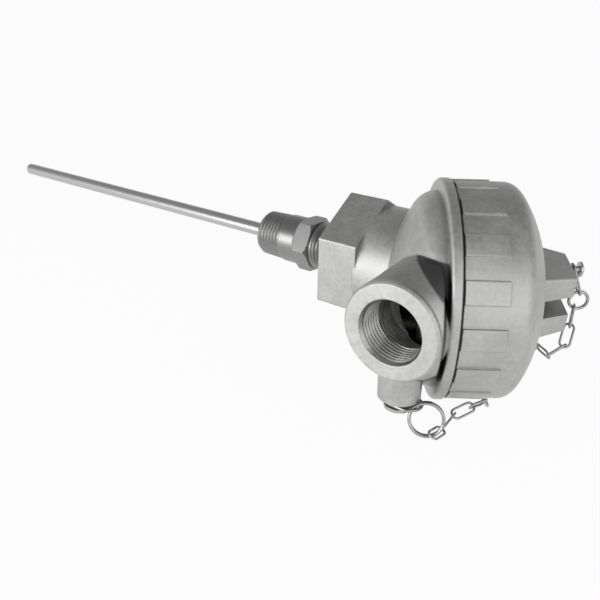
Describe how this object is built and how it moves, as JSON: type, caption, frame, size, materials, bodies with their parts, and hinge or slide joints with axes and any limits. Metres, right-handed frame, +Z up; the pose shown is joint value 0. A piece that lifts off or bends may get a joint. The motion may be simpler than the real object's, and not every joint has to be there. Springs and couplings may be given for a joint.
{
  "type": "rtd probe with head",
  "caption": "Straight sheathed temperature probe in a hex nipple with a cast screw-cap connection head, side conduit inlet and cap chain.",
  "frame": {"origin": "on the probe axis at the large end of the process thread", "axes": "+X along the probe axis towards the head, -Y out of the conduit inlet, +Z up"},
  "size_m": [0.3337, 0.0933, 0.0906],
  "materials": {
    "cast_aluminium": "bead-blasted",
    "sheath_steel": "bright drawn",
    "nipple_steel": "turned",
    "chain_steel": "plated wire",
    "screw_steel": "plated",
    "gasket_rubber": "matt",
    "ceramic": "glazed ceramic",
    "terminal_brass": "machined",
    "red_insulation": "fluoropolymer",
    "white_insulation": "fluoropolymer"
  },
  "bodies": {
    "head": {"probe_sheath": "sheath_steel", "sensing_element": "ceramic", "lead_wire_1": "red_insulation", "lead_wire_2": "red_insulation", "lead_wire_3": "white_insulation", "hex_nipple": "nipple_steel", "head_body": "cast_aluminium", "terminal_block": "ceramic", "terminal_1": "terminal_brass", "terminal_2": "terminal_brass", "terminal_3": "terminal_brass", "terminal_4": "terminal_brass", "terminal_screws": "screw_steel", "block_screws": "screw_steel", "boss_screw": "screw_steel"},
    "gasket_ring": {"gasket": "gasket_rubber"},
    "cap": {"cap": "cast_aluminium", "cap_drive_screw": "screw_steel"},
    "cap_chain": {"cap_eyelet": "chain_steel", "jump_ring": "chain_steel", "cap_link_1": "chain_steel", "cap_link_2": "chain_steel", "cap_link_3": "chain_steel", "cap_link_4": "chain_steel", "cap_link_5": "chain_steel", "cap_link_6": "chain_steel", "cap_link_7": "chain_steel", "cap_link_8": "chain_steel"},
    "head_chain": {"boss_eyelet": "chain_steel", "split_ring": "chain_steel", "head_link_1": "chain_steel", "head_link_2": "chain_steel", "head_link_3": "chain_steel", "head_link_4": "chain_steel", "head_link_5": "chain_steel"}
  },
  "joints": [
    {"name": "cap_travel", "type": "slide", "parent": "head", "child": "gasket_ring", "axis": [0.8339, 0.5519, 0], "range_m": [0, 0.0121]},
    {"name": "cap_turn", "type": "hinge", "parent": "gasket_ring", "child": "cap", "pos_m": [0.08165, -0.01039, 0], "axis": [0.8339, 0.5519, 0], "range_deg": [0, 2160]},
    {"name": "cap_chain_swing", "type": "hinge", "parent": "cap", "child": "cap_chain", "pos_m": [0.12316, 0.01822, 0.00949], "axis": [0.8339, 0.5519, 0], "range_deg": [-2161, 0]},
    {"name": "head_chain_swing", "type": "hinge", "parent": "head", "child": "head_chain", "pos_m": [0.0835, -0.0444, 0], "axis": [0, 0, 1], "range_deg": [-8.1, 0]}
  ],
  "couplings": [
    {"joint": "cap_travel", "follows": "cap_turn", "m_per_rad": 0.00031831},
    {"joint": "cap_chain_swing", "follows": "cap_turn", "ratio": -1},
    {"joint": "head_chain_swing", "follows": "cap_turn", "ratio": -0.0037037}
  ]
}
